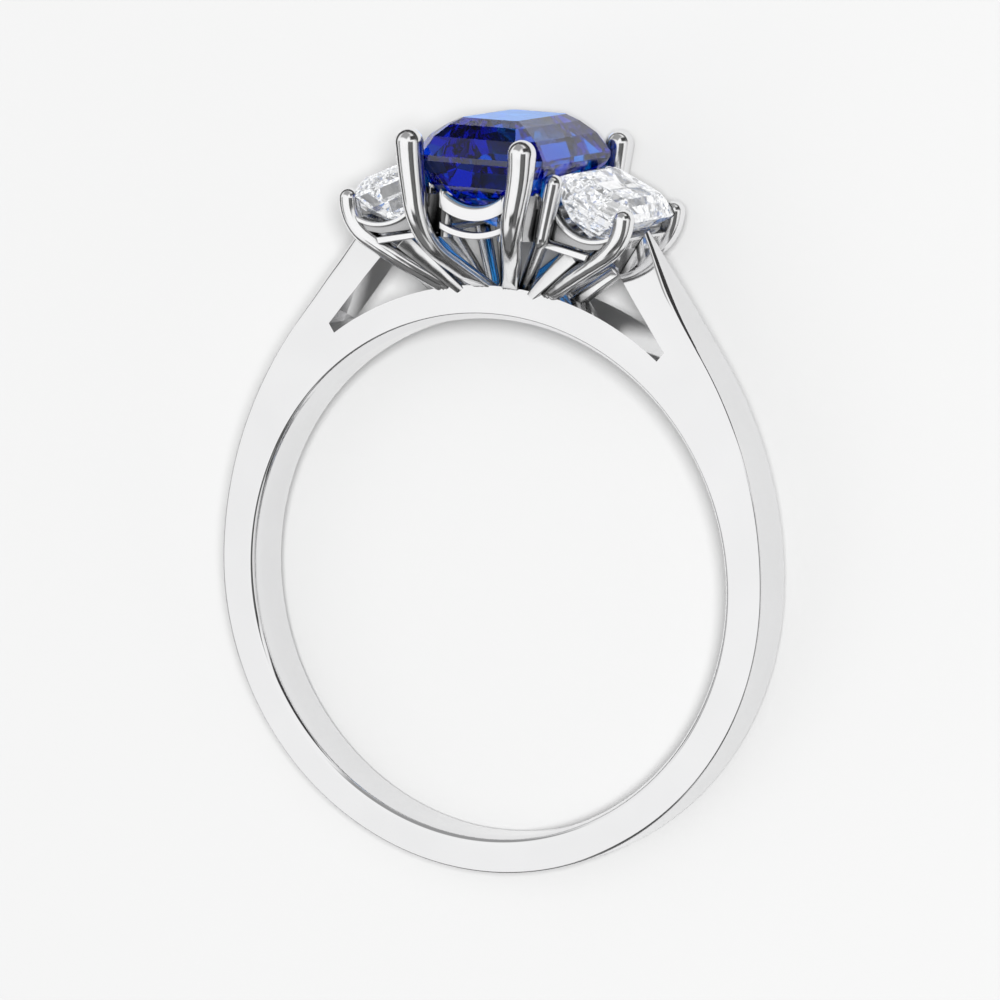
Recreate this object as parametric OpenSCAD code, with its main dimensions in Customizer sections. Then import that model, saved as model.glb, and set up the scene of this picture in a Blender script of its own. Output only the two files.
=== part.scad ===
// Three stone ring with cathedral shoulders: one soldered metal mount, an emerald-cut
// centre stone and two smaller emerald-cut side stones, lying on its side as it rests.
// The ring is drawn upright first: X across the hand, Y up to the stones, Z along the finger.

/* [Finger hole] */
// Inside diameter of the ring
finger_d = 16.6; // [15:0.1:19]
// Width of the straight middle of the comfort-fit inside
comfort_flat = 1.0; // [0.6:0.1:1.3]
// How far the inside curves away at each edge
comfort_rise = 0.2; // [0.1:0.02:0.3]

/* [Band] */
// Width of the band at its inner edge
band_w = 2.05; // [1.8:0.05:2.6]
// Wall of the band at the sides
band_t = 1.3; // [1.1:0.05:1.8]
// Wall of the band under the finger
palm_t = 1.18; // [0.9:0.02:1.5]
// Lean of the band's sides, in degrees
side_draft = 7.8; // [2:0.2:12]
// How far the centre of the drafted sides lies towards the stones
palm_slim = 0.5; // [0:0.1:1]

/* [Bridge and shoulders] */
// Wall of the bridge under the stones
bridge_t = 1.1; // [0.9:0.05:1.4]
// Radius of the arch that carries the band up into the shoulders
arch_r = 13; // [11.5:0.1:15]
// Place where each shoulder leaves the arch, in degrees round the arch
shoulder_from = 37.7; // [34:0.1:41]
// Place of the lower corner of each cathedral gap, in degrees round the finger
gap_corner = 52.4; // [50:0.1:56]
// Blunt height of that corner
gap_end = 0.36; // [0.2:0.02:0.6]
// Height of the face where a shoulder meets its side setting
shoulder_end = 1.55; // [1.3:0.05:1.8]
// Width of a shoulder at its tip
shoulder_tip_w = 0.24; // [0.16:0.02:0.5]
// Half angle at which a shoulder widens from its tip, in degrees
shoulder_spread = 21; // [17:0.5:25]
// Direction in which a shoulder widens, in degrees from the X axis
shoulder_lean = 68; // [60:1:76]
// Distance of a shoulder's end face outside the side stone's girdle
tip_out = 0.07; // [0.02:0.01:0.1]

/* [Centre stone] */
// Length of the centre stone along the finger
centre_l = 6.45; // [6:0.05:7]
// Width of the centre stone across the hand
centre_w = 4.5; // [4.2:0.05:4.9]
// Height of its crown
centre_crown = 1.14; // [0.8:0.02:1.3]
// Thickness of its girdle
centre_girdle = 0.18; // [0.08:0.01:0.3]
// Depth of its pavilion
centre_pavilion = 2.15; // [1.7:0.05:2.3]
// Length of the corner cuts along the finger
centre_cut_l = 0.8; // [0.5:0.05:1]
// Width of the corner cuts across the hand
centre_cut_w = 0.6; // [0.4:0.05:0.8]
// Height of the lower edge of its girdle above the bridge
centre_rise = 4.05; // [3.9:0.05:4.4]

/* [Side stones] */
// Length of a side stone along the finger
side_l = 3.9; // [3.6:0.05:4.2]
// Width of a side stone across the hand
side_w = 2.9; // [2.7:0.05:3.1]
// Height of its crown
side_crown = 0.45; // [0.3:0.01:0.6]
// Thickness of its girdle
side_girdle = 0.1; // [0.06:0.01:0.16]
// Depth of its pavilion
side_pavilion = 1.3; // [1:0.05:1.4]
// Size of the corner cuts
side_cut = 0.42; // [0.3:0.02:0.55]
// Tilt of a side stone away from the centre stone, in degrees
side_tilt = 24; // [20:1:28]
// Level gap between the girdles of the centre stone and a side stone
side_gap = 0.03; // [0.02:0.01:0.2]
// Drop from the centre stone's girdle to a side stone's
side_drop = 1.07; // [0.95:0.01:1.3]

/* [Claws and rails] */
// Radius of a centre claw at its head
claw_head = 0.46; // [0.4:0.01:0.5]
// Radius of a centre claw at its foot
claw_foot = 0.25; // [0.2:0.01:0.35]
// Radius of a side claw at its head
side_claw_head = 0.34; // [0.28:0.01:0.38]
// Radius of a side claw at its foot
side_claw_foot = 0.28; // [0.2:0.01:0.31]
// Thickness of the rails
rail_t = 0.36; // [0.28:0.02:0.45]
// Height of the upper, scalloped rail of the centre basket
upper_rail_h = 0.46; // [0.38:0.02:0.54]
// Height of the lower rails
lower_rail_h = 0.22; // [0.18:0.02:0.28]
// Height of the scallop's lowest point above the bridge
scallop_rise = 2.68; // [2.5:0.02:2.8]
// Height of the upper edge of the centre basket's lower rail above the bridge
brace_rise = 1.85; // [1.7:0.05:1.95]
// How far the front and rear rails lie inside the ends of the centre stone
rail_inset = 0.38; // [0.3:0.02:0.5]
// How far the basket's corners are cut off, as the stone's are
corner_cut = 0.92; // [0.8:0.02:1]
// Thickness of the side baskets' plates
plate_t = 0.3; // [0.24:0.02:0.4]
// Gap between a side basket's plates and its lower rail
rail_gap = 0.07; // [0.05:0.01:0.1]
// Depth of a side basket below its stone's girdle
basket_h = 2.07; // [1.95:0.02:2.2]
// Thickness of the struts and legs
strut_t = 0.34; // [0.28:0.02:0.45]
// Clearance between a stone and its seat
stone_fit = 0.04; // [0.02:0.01:0.08]

/* [Hidden] */
$fn = 96;
wire_sides = 10;

finger_r = finger_d / 2;
edge_r = finger_r + comfort_rise;
outer_r = finger_r + band_t;
outer_y = band_t - palm_t;
bridge_r = finger_r + bridge_t;
reach = 2 * arch_r;

// Drafted sides: two cones back to back, whose half width is band_w / 2 at the inner edge.
draft_r = edge_r + band_w / 2 / tan(side_draft);
draft_h = draft_r * tan(side_draft);

// Places of the stones' girdles. A side stone's own axes are out, up and along the finger.
girdle_y = bridge_r + centre_rise;
side_x = centre_w / 2 + side_gap + side_w / 2 * cos(side_tilt);
side_y = girdle_y - side_drop;
function from_side(out, up, z = 0) = [
    side_x + out * cos(side_tilt) + up * sin(side_tilt),
    side_y - out * sin(side_tilt) + up * cos(side_tilt), z];
function flat_point(p) = [p[0], p[1]];

// Shoulder: tip, end face and the line that leaves the arch.
tip_drop = 0.34;
plate_out = side_w / 2 + tip_out;
shoulder_tip = flat_point(from_side(plate_out, -tip_drop));
shoulder_heel = flat_point(from_side(plate_out, -tip_drop - shoulder_end));
end_way = (shoulder_tip - shoulder_heel) / shoulder_end;
arch_foot = [outer_r - arch_r + arch_r * cos(shoulder_from), outer_y + arch_r * sin(shoulder_from)];
outer_way = (arch_foot - shoulder_tip) / norm(arch_foot - shoulder_tip);
gap_low = (bridge_r - band_t / 2) * [cos(gap_corner), sin(gap_corner)];
gap_high = (bridge_r + gap_end) * [cos(gap_corner), sin(gap_corner)];

// Emerald cut by levels from the table down: share of the half width, of the half length,
// of the corner cut, and of the crown's height or the pavilion's depth.
CROWN = [
    [0.436, 0.564, 0.15, 1],
    [0.604, 0.685, 0.35, 0.825],
    [0.822, 0.856, 0.70, 0.5],
    [1, 1, 1, 0]];
PAVILION = [
    [1, 1, 1, 0],
    [0.822, 0.884, 0.75, 0.358],
    [0.644, 0.760, 0.50, 0.558],
    [0.400, 0.589, 0.30, 0.79],
    [0.020, 0.326, 0.05, 1]];
SIDE_CROWN = [
    [0.62, 0.68, 0.30, 1],
    [0.78, 0.82, 0.55, 0.68],
    [0.91, 0.93, 0.80, 0.3],
    [1, 1, 1, 0]];
SIDE_PAVILION = [
    [1, 1, 1, 0],
    [0.80, 0.86, 0.70, 0.36],
    [0.50, 0.64, 0.40, 0.72],
    [0.03, 0.34, 0.10, 1]];

// Ring of eight corners at one level of a stone.
function cut_ring(hw, hl, cw, cl, y) = [
    [hw - cw, y, hl], [hw, y, hl - cl], [hw, y, cl - hl], [hw - cw, y, -hl],
    [cw - hw, y, -hl], [-hw, y, cl - hl], [-hw, y, hl - cl], [cw - hw, y, hl]];

module emerald_cut(w, l, cut_w, cut_l, crown, girdle, pavilion, crown_rows, pavilion_rows, grow = 0) {
    levels = concat(
        [for (r = crown_rows) cut_ring(r[0] * w / 2 + grow, r[1] * l / 2 + grow,
            r[2] * cut_w, r[2] * cut_l, girdle + r[3] * crown + grow)],
        [for (r = pavilion_rows) cut_ring(r[0] * w / 2 + grow, r[1] * l / 2 + grow,
            r[2] * cut_w, r[2] * cut_l, -r[3] * pavilion - grow)]);
    rings_solid(levels);
}

// Closed solid through rings of points that all have the same number of corners.
module rings_solid(rings) {
    n = len(rings[0]);
    m = len(rings);
    polyhedron(
        points = [for (ring = rings) for (p = ring) p],
        faces = concat(
            [[for (k = [n - 1:-1:0]) k]],
            [for (i = [0:m - 2]) for (k = [0:n - 1]) for (half = [0, 1]) half == 0
                ? [i * n + k, i * n + (k + 1) % n, (i + 1) * n + (k + 1) % n]
                : [i * n + k, (i + 1) * n + (k + 1) % n, (i + 1) * n + k]],
            [[for (k = [0:n - 1]) (m - 1) * n + k]]));
}

// Line of a bent claw as [along, up] pairs: straight at the first slope, a bend, then
// straight at the second slope, from [0, 0] to [run, rise].
BEND_STEPS = 5;
function claw_line(run, rise, low_slope, high_slope, bend_r) =
    let (bend_run = bend_r * (sin(high_slope) - sin(low_slope)),
        bend_rise = bend_r * (cos(low_slope) - cos(high_slope)),
        split = sin(high_slope - low_slope),
        low = ((run - bend_run) * sin(high_slope) - (rise - bend_rise) * cos(high_slope)) / split,
        from = low * [cos(low_slope), sin(low_slope)],
        hub = from + bend_r * [-sin(low_slope), cos(low_slope)])
    concat([[0, 0]],
        [for (i = [0:BEND_STEPS])
            let (a = low_slope + (high_slope - low_slope) * i / BEND_STEPS)
            hub + bend_r * [sin(a), -cos(a)]],
        [[run, rise]]);

// Tapered round wire along a line of points, with a domed head at its last point.
DOME = [24, 48, 70];
TAPER = 1.15;
function unit(v) = v / norm(v);
function way_at(path, i) = unit(path[min(i + 1, len(path) - 1)] - path[max(i - 1, 0)]);
function wire_ring(c, way, beside, r) =
    let (a = unit(beside - (beside * way) * way), b = cross(a, way))
    [for (k = [0:wire_sides - 1])
        c + r * (cos(360 * (k + 0.5) / wire_sides) * a + sin(360 * (k + 0.5) / wire_sides) * b)];
function wire_r(path, i, r_foot, r_head) =
    r_foot + (r_head - r_foot) * pow(
        max(0, min(1, (path[i][1] - path[0][1]) / (path[len(path) - 1][1] - path[0][1]))), TAPER);
module wire(path, r_foot, r_head, beside) {
    last = len(path) - 1;
    way = way_at(path, last);
    rings_solid(concat(
        [for (i = [0:last]) wire_ring(path[i], way_at(path, i), beside, wire_r(path, i, r_foot, r_head))],
        [for (a = DOME) wire_ring(path[last] + r_head * sin(a) * way, way, beside, r_head * cos(a))]));
}

// Centre claws: from a foot on the bridge out and up to the corner of the stone.
// The head lies inside the stone's side, past its end and over its girdle.
CLAW_IN = 0.28;
CLAW_PAST = 0.24;
CLAW_OVER = 0.22;
claw_x = centre_w / 2 - CLAW_IN;
claw_z = centre_l / 2 + CLAW_PAST;
claw_top = girdle_y + centre_girdle + CLAW_OVER;
claw_sink = 0.35;
CLAW_FOOT = [0.19, 0.4];
CLAW_SLOPES = [32, 84];
CLAW_BEND = 2.5;
claw_plan = [claw_x, claw_z] - CLAW_FOOT;
claw_run = norm(claw_plan);
function claw_path() = [
    for (p = claw_line(claw_run, claw_top - bridge_r + claw_sink, CLAW_SLOPES[0], CLAW_SLOPES[1], CLAW_BEND))
        [CLAW_FOOT[0] + claw_plan[0] * p[0] / claw_run, bridge_r - claw_sink + p[1],
            CLAW_FOOT[1] + claw_plan[1] * p[0] / claw_run]];
module centre_claw() {
    wire(claw_path(), claw_foot, claw_head, [claw_plan[1], 0, -claw_plan[0]]);
}

// Outer claws of a side basket sweep out from the bridge under the stone. A head is placed from
// the stone's corner at its girdle: inwards, up, and in along the finger.
foot_sink = 0.2;
OUTER_HEAD = [0.12, 0.04, 0.1];
outer_head = from_side(side_w / 2 - OUTER_HEAD[0], OUTER_HEAD[1], side_l / 2 - OUTER_HEAD[2]);
OUTER_FOOT = [1.55, 0.6];
OUTER_SLOPES = [32, 86];
OUTER_BEND = 1.5;
// Height of a foot that is sunk into the bridge at a distance from the middle of the ring.
function foot_y(x) = sqrt(pow(bridge_r, 2) - pow(x, 2)) - foot_sink;
outer_foot_y = foot_y(OUTER_FOOT[0]);
outer_run = outer_head[0] - OUTER_FOOT[0];
function outer_path() = [
    for (p = claw_line(outer_run, outer_head[1] - outer_foot_y, OUTER_SLOPES[0], OUTER_SLOPES[1], OUTER_BEND))
        [OUTER_FOOT[0] + p[0], outer_foot_y + p[1],
            OUTER_FOOT[1] + (outer_head[2] - OUTER_FOOT[1]) * sin(90 * p[0] / outer_run)]];
module outer_claw() {
    wire(outer_path(), side_claw_foot, side_claw_head, [0, 0, 1]);
}

// Inner claws stand at the stone's inner corners, and run down to the bridge as a thin wire.
// The knee is placed from the stone's side, from the basket's foot and past the stone's end.
INNER_HEAD = [0.14, -0.06, 0.02];
inner_head = from_side(INNER_HEAD[0] - side_w / 2, INNER_HEAD[1], side_l / 2 - INNER_HEAD[2]);
INNER_KNEE = [0.6, 0.32, 0.12];
inner_knee = from_side(INNER_KNEE[0] - side_w / 2, INNER_KNEE[1] - basket_h, side_l / 2 + INNER_KNEE[2]);
INNER_FOOT = [0.72, 0.42];
INNER_SLIM = 0.7;
module inner_claw() {
    foot = [INNER_FOOT[0], bridge_r - foot_sink, INNER_FOOT[1]];
    wire([foot, inner_knee, (inner_knee + inner_head) / 2, inner_head],
        side_claw_foot * INNER_SLIM, side_claw_head, [0, 0, 1]);
}

// Centre basket: an upper rail scalloped under the stone and a lower rail, on all four sides.
// A rail is a bow that sags between two corners, in the XY plane until it is turned. Its upper
// edge is an arc of the radius r whose lowest point is at the height low.
module bow(half, low, r, h, t) {
    translate([0, low + r, 0]) intersection() {
        difference() {
            cylinder(r = r + h, h = t, center = true);
            cylinder(r = r, h = t + 1, center = true);
        }
        translate([-half, -r - h - 1, -t]) cube([2 * half, r + h + 1, 2 * t]);
    }
}
// Radius of the upper and the lower rails, as shares of the stone's width in front and behind,
// and of its length on the long sides.
SHORT_BOWS = [0.331, 0.533];
LONG_BOWS = [0.676, 3.1];
rail_z = centre_l / 2 - rail_inset;
corner_x = claw_x - corner_cut;
corner_z = rail_z - corner_cut;
upper_rail_y = bridge_r + scallop_rise;
lower_rail_y = bridge_r + brace_rise;
module centre_rails() {
    lap = rail_t / 4;
    for (s = [-1, 1]) {
        translate([0, 0, s * (rail_z - rail_t / 2)]) {
            bow(corner_x + lap, upper_rail_y, SHORT_BOWS[0] * centre_w, upper_rail_h, rail_t);
            bow(corner_x + lap, lower_rail_y, SHORT_BOWS[1] * centre_w, lower_rail_h, rail_t);
        }
        translate([s * (claw_x - rail_t / 2), 0, 0]) rotate([0, 90, 0]) {
            bow(corner_z + lap, upper_rail_y, LONG_BOWS[0] * centre_l, upper_rail_h, rail_t);
            bow(corner_z + lap, lower_rail_y, LONG_BOWS[1] * centre_l, lower_rail_h, rail_t);
        }
    }
}
// A plate across each corner joins the rails, and a web joins it to the claw outside it.
function along(a, b, y) = a + (b - a) * (y - a[1]) / (b[1] - a[1]);
function path_at(path, y, i = 1) = path[i][1] >= y || i == len(path) - 1
    ? along(path[i - 1], path[i], y) : path_at(path, y, i + 1);
CORNER_RISE = 0.46;
WEB_DROP = 0.1;
web_t = 0.28;
module basket_corner() {
    low = lower_rail_y - lower_rail_h;
    top = upper_rail_y + CORNER_RISE;
    middle = (low + top) / 2;
    inward = rail_t / 2 * [1, 0, 1] / sqrt(2);
    plate = [[corner_x, middle, rail_z] - inward, [claw_x, middle, corner_z] - inward];
    bar(plate[0], plate[1], [(top - low) / 2, rail_t / 2], [(top - low) / 2, rail_t / 2]);
    web = [(top - low) / 2 - WEB_DROP, web_t / 2];
    bar((plate[0] + plate[1]) / 2, path_at(claw_path(), middle), web, web);
}

// Side basket in the side stone's own axes: scalloped front and rear plates, outer plate.
// Corners of a plate, as shares of half the stone's width and of the basket's depth.
PLATE = [[-0.634, -0.841], [0.428, -0.667], [0.745, -0.531], [0.938, -0.242], [-0.897, -0.242]];
function plate_corner(i) = [PLATE[i][0] * side_w / 2, PLATE[i][1] * basket_h];
PLATE_IN = 0.06;
plate_z = side_l / 2 - PLATE_IN;
SCALLOP_HUB = [0.05, 0.4];
END_IN = 0.02;
// Straight bar of the outer plate: its lower edge, its height and half its length.
END_BAR = [-0.98, 0.44, plate_z - 0.1];
end_r = side_l / 3;
module side_plates() {
    for (s = [-1, 1]) translate([0, 0, s * plate_z]) difference() {
        linear_extrude(plate_t, center = true) polygon([for (i = [0:len(PLATE) - 1]) plate_corner(i)]);
        translate(SCALLOP_HUB) cylinder(r = side_w / 2 + stone_fit, h = 2 * plate_t, center = true);
    }
    translate([plate_out - END_IN - rail_t / 2, 0, 0]) rotate([0, 90, 0]) union() {
        intersection() {
            translate([0, end_r - basket_h, 0]) cylinder(r = end_r, h = rail_t, center = true);
            translate([-end_r, END_BAR[0] + END_BAR[1] / 2 - 2 * end_r, -rail_t])
                cube([2 * end_r, 2 * end_r, 2 * rail_t]);
        }
        translate([-END_BAR[2], END_BAR[0], -rail_t / 2]) cube([2 * END_BAR[2], END_BAR[1], rail_t]);
    }
}
// Lower rail of a side basket, all round it, a little below the plates.
BRACE_PAST = 0.18;
BRACE_IN = 0.06;
brace_t = rail_t + 0.04;
module side_lower_rail() {
    drop = [0, rail_gap + lower_rail_h];
    past = [BRACE_PAST, 0];
    edge = [plate_corner(0) - drop, plate_corner(1) + past - drop,
        plate_corner(1) + past - [0, rail_gap], plate_corner(0) - [0, rail_gap]];
    for (s = [-1, 1]) translate([0, 0, s * plate_z]) linear_extrude(brace_t, center = true) polygon(edge);
    translate([edge[0][0] + BRACE_IN, edge[0][1], -plate_z]) cube([rail_t, lower_rail_h, 2 * plate_z]);
}

// Flat bar between two sections, each a pair of half widths across and along the finger.
module bar(from, to, half_from, half_to) {
    way = unit(to - from);
    a = unit(cross(way, [0, 0, 1]));
    b = cross(a, way);
    rings_solid([for (end = [[from, half_from], [to, half_to]])
        [for (c = [[1, 1], [-1, 1], [-1, -1], [1, -1]])
            end[0] + c[0] * end[1][0] * a + c[1] * end[1][1] * b]]);
}
// Legs carry the side basket's lower rail in front and behind, and one strut its outer plate.
LEG_FOOT = [1.2, 0.8];
LEG_TOP = [0.15, 0.32];
LEG_IN = 0.3;
LEG_HALF = [0.14, 0.3];
module leg() {
    bar([LEG_FOOT[0], foot_y(LEG_FOOT[0]), LEG_FOOT[1]],
        from_side(LEG_TOP[0], LEG_TOP[1] - basket_h, plate_z - LEG_IN),
        [LEG_HALF[0], strut_t / 2], [LEG_HALF[1], strut_t / 2]);
}
STRUT_FOOT = 2.3;
STRUT_TOP = [0.1, 0.2];
STRUT_HALF = [0.3, 0.4];
module strut() {
    bar([STRUT_FOOT, foot_y(STRUT_FOOT), 0],
        from_side(plate_out - rail_t / 2 - STRUT_TOP[0], STRUT_TOP[1] - basket_h),
        [strut_t / 2, STRUT_HALF[0]], [strut_t / 2, STRUT_HALF[1]]);
}

module side_setting() {
    for (s = [1, -1]) scale([1, 1, s]) {
        outer_claw();
        inner_claw();
        leg();
    }
    strut();
    translate([side_x, side_y, 0]) rotate(-side_tilt) {
        side_plates();
        side_lower_rail();
    }
}

// Band, bridge and shoulders, before the finger hole is cut.
module outline() {
    deep = band_w + 1;
    union() {
        translate([0, outer_y, 0]) intersection() {
            cylinder(r = outer_r, h = deep, center = true);
            translate([-reach, -reach, -deep]) cube([2 * reach, reach, 2 * deep]);
        }
        translate([0, outer_y, 0]) intersection() {
            translate([outer_r - arch_r, 0, 0]) cylinder(r = arch_r, h = deep, center = true);
            translate([arch_r - outer_r, 0, 0]) cylinder(r = arch_r, h = deep, center = true);
            translate([-reach, 0, -deep]) cube([2 * reach, arch_foot[1] - outer_y + 0.5, 2 * deep]);
        }
        cylinder(r = bridge_r, h = deep, center = true);
        for (s = [0, 1]) mirror([s, 0, 0]) shoulder(deep);
    }
}
// A shoulder is a slab that narrows to a slim tip under the side stone.
module shoulder(deep) {
    low = arch_foot + 0.5 * outer_way;
    root = [1, 0.5];
    wedge_tip = shoulder_tip + shoulder_tip_w / 2 / tan(shoulder_spread)
        * [cos(shoulder_lean), sin(shoulder_lean)];
    intersection() {
        linear_extrude(deep, center = true)
            polygon([shoulder_tip + 0.2 * end_way, shoulder_tip, low, low - root,
                shoulder_heel - [root[0], 0], shoulder_heel - [root[1], -shoulder_end]]);
        translate([wedge_tip[0], wedge_tip[1], 0]) rotate(shoulder_lean)
            translate([0, reach / 2, 0]) rotate([90, 0, 0]) linear_extrude(reach)
            polygon([for (s = [0, 1, -1]) [-abs(s) * reach, s * reach * tan(shoulder_spread)]]);
    }
}
// Open space between the shoulders, down to the bridge.
module gap() {
    side = [gap_low, gap_high, shoulder_heel, shoulder_tip + 2 * end_way];
    difference() {
        linear_extrude(band_w + 2, center = true)
            polygon(concat(side, [for (i = [3:-1:0]) [-side[i][0], side[i][1]]]));
        cylinder(r = bridge_r, h = band_w + 4, center = true);
    }
}
// Comfort-fit hole: a straight middle, rounded away to each edge.
module finger_hole() {
    run = (band_w - comfort_flat) / 2;
    round_r = (pow(run, 2) + pow(comfort_rise, 2)) / (2 * comfort_rise);
    turn = asin(run / round_r);
    steps = 4;
    curve = [for (i = [0:steps]) let (a = turn * i / steps)
        [finger_r + round_r * (1 - cos(a)), comfort_flat / 2 + round_r * sin(a)]];
    rotate_extrude() polygon(concat([[0, -band_w], [edge_r, -band_w]],
        [for (i = [steps:-1:0]) [curve[i][0], -curve[i][1]]], curve,
        [[edge_r, band_w], [0, band_w]]));
}
module shank() {
    difference() {
        intersection() {
            outline();
            translate([0, palm_slim, 0]) rotate_extrude()
                polygon([[0, -draft_h], [draft_r, 0], [0, draft_h]]);
        }
        gap();
    }
}

// Stones in their own places, or grown by the fit to cut their seats.
module centre_stone(grow = 0) {
    translate([0, girdle_y, 0])
        emerald_cut(centre_w, centre_l, centre_cut_w, centre_cut_l, centre_crown, centre_girdle,
            centre_pavilion, CROWN, PAVILION, grow);
}
module side_stone(side, grow = 0) {
    scale([side, 1, 1]) translate([side_x, side_y, 0]) rotate(-side_tilt)
        emerald_cut(side_w, side_l, side_cut, side_cut, side_crown, side_girdle,
            side_pavilion, SIDE_CROWN, SIDE_PAVILION, grow);
}

// Rest pose: the ring lies on its rear centre claws and the rear edge of the band.
// Each row of a claw is a ball at [height, depth] with a radius, and the one that asks
// for the most tilt is the one that touches.
rim = [-edge_r, -(draft_r - edge_r - palm_slim) * tan(side_draft)];
function tilt_for(y, z, r) =
    let (a = y - rim[0], b = rim[1] - z)
    asin(r / sqrt(a * a + b * b)) + atan(b / a);
rest_tilt = max([let (p = claw_path()) for (i = [3:len(p) - 1])
    tilt_for(p[i][1], -p[i][2], wire_r(p, i, claw_foot, claw_head))]);
rest_z = -(rim[0] * sin(rest_tilt) + rim[1] * cos(rest_tilt));
high_y = (girdle_y + centre_girdle + centre_crown) * cos(rest_tilt)
    + CROWN[0][1] * centre_l / 2 * sin(rest_tilt);
palm_half = (draft_r - outer_r + outer_y - palm_slim) * tan(side_draft);
low_y = (outer_y - outer_r) * cos(rest_tilt) - palm_half * sin(rest_tilt);
module laid() {
    translate([0, -(high_y + low_y) / 2, rest_z]) rotate([rest_tilt, 0, 0]) children();
}

module ring_mount() {
    color([0.86, 0.87, 0.88]) laid() difference() {
        union() {
            shank();
            for (x = [1, -1], z = [1, -1]) scale([x, 1, z]) {
                centre_claw();
                basket_corner();
            }
            centre_rails();
            for (x = [1, -1]) scale([x, 1, 1]) side_setting();
        }
        finger_hole();
        centre_stone(stone_fit);
        side_stone(1, stone_fit);
        side_stone(-1, stone_fit);
    }
}
module centre_sapphire() {
    color([0.06, 0.14, 0.62]) laid() centre_stone();
}
module side_diamond_left() {
    color([0.93, 0.95, 0.97]) laid() side_stone(-1);
}
module side_diamond_right() {
    color([0.93, 0.95, 0.97]) laid() side_stone(1);
}

ring_mount();
centre_sapphire();
side_diamond_left();
side_diamond_right();
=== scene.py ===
import math

import bmesh
import bpy
import numpy as np
from mathutils import Matrix, Vector


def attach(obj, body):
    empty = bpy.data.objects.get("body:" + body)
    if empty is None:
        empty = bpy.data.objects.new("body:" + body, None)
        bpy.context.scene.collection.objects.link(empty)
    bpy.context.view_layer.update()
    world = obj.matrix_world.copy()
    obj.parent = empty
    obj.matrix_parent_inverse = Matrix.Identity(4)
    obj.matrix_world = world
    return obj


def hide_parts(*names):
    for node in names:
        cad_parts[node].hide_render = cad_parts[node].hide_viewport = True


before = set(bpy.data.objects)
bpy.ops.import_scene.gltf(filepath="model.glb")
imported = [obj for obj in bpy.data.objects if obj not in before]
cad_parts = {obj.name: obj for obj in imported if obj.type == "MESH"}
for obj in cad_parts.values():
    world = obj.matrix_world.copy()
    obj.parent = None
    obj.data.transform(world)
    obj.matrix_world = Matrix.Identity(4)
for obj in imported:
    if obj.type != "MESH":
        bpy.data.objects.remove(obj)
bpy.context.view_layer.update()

# The band, the bridge under the stones and the two cathedral shoulders are one casting in white
# metal. Its sides are filed flat and lean in a little, the inside is rounded away to both edges
# for comfort, and every edge is softened by the polishing wheel.

# Sizes are millimetres on the upright ring, with x across the hand, y up to the stones and z along
# the finger. Places round the hole are degrees from x.
FINGER_R = 8.3
EDGE_R = 8.5
COMFORT_HALF = 0.5
COMFORT_RUN = 0.525
BRIDGE_R = 9.4
BAND_R = 9.6
BAND_Y = 0.12
ARCH_R = 13.0
ARCH_FOOT = np.array([6.88591, 8.06985])
SHOULDER_TIP = np.array([4.85494, 11.4512])
SHOULDER_HEEL = np.array([4.2245, 10.0352])
GAP_CORNER = 52.4
GAP_CORNER_R = 9.76
PALM, TOP = -90, 90

# The band's sides would meet at the draft radius. The shoulders slim towards their tips.
DRAFT_R = 15.98
PALM_SLIM = 0.5
SIDE_DRAFT = math.tan(math.radians(7.8))
TIP_HALF = 0.12
SLIM_ACROSS, SLIM_UP = 0.1438, 0.3559
SIDES_MELT = 0.1

# Where and how softly the outline turns into the shoulder, and its edge is polished away.
TURN_AT, TURN_SPREAD, TURN_REACH, TURN_STEPS = 50, 14, 5.0, 4
EDGE_ROUND = 0.05
RIM_EXTRA, RIM_AT, RIM_SPREAD, RIM_FADE = 0.16, 59, 12, 0.7
FLAT_TO_ROUND = 0.04
QUARTER_TURN = np.radians([0, 22.5, 45, 67.5, 90])
HOLE_ROUND = 0.08
HOLE_ROUND_STEPS = 7


def comfort_radius(z):
    """Radius of the finger hole at a distance from its middle."""
    over = min(max(abs(z) - COMFORT_HALF, 0), COMFORT_RUN)
    rise = EDGE_R - FINGER_R
    round_r = (COMFORT_RUN ** 2 + rise ** 2) / (2 * rise)
    return FINGER_R + round_r - math.sqrt(round_r ** 2 - over ** 2)


def half_width(x, y):
    """Half the width of the metal: the leaning sides of the band, then the slimmer shoulders."""
    band = (DRAFT_R - math.hypot(x, y - PALM_SLIM)) * SIDE_DRAFT
    shoulder = TIP_HALF - SLIM_ACROSS * (x - SHOULDER_TIP[0]) - SLIM_UP * (y - SHOULDER_TIP[1])
    blend = max(SIDES_MELT - abs(band - shoulder), 0) / SIDES_MELT
    return min(band, shoulder) - blend ** 2 * SIDES_MELT / 4


def way_at(degrees):
    """The way outwards from the middle of the finger hole."""
    return np.array([math.cos(math.radians(degrees)), math.sin(math.radians(degrees))])


def way_to_circle(way, centre, radius):
    """How far out a circle is met on the way outwards."""
    along = way @ centre
    return along + math.sqrt(along ** 2 - centre @ centre + radius ** 2)


def sharp_outline(degrees):
    """Outer radius: a circle on the palm's side, a wider arch above it, and a straight shoulder."""
    way = way_at(degrees)
    if degrees > math.degrees(math.atan2(ARCH_FOOT[1], ARCH_FOOT[0])):
        lean = SHOULDER_TIP - ARCH_FOOT
        return ((ARCH_FOOT[0] * lean[1] - ARCH_FOOT[1] * lean[0])
                / (way[0] * lean[1] - way[1] * lean[0]))
    if way[1] > 0:
        return way_to_circle(way, np.array([BAND_R - ARCH_R, BAND_Y]), ARCH_R)
    return way_to_circle(way, np.array([0, BAND_Y]), BAND_R)


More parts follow.
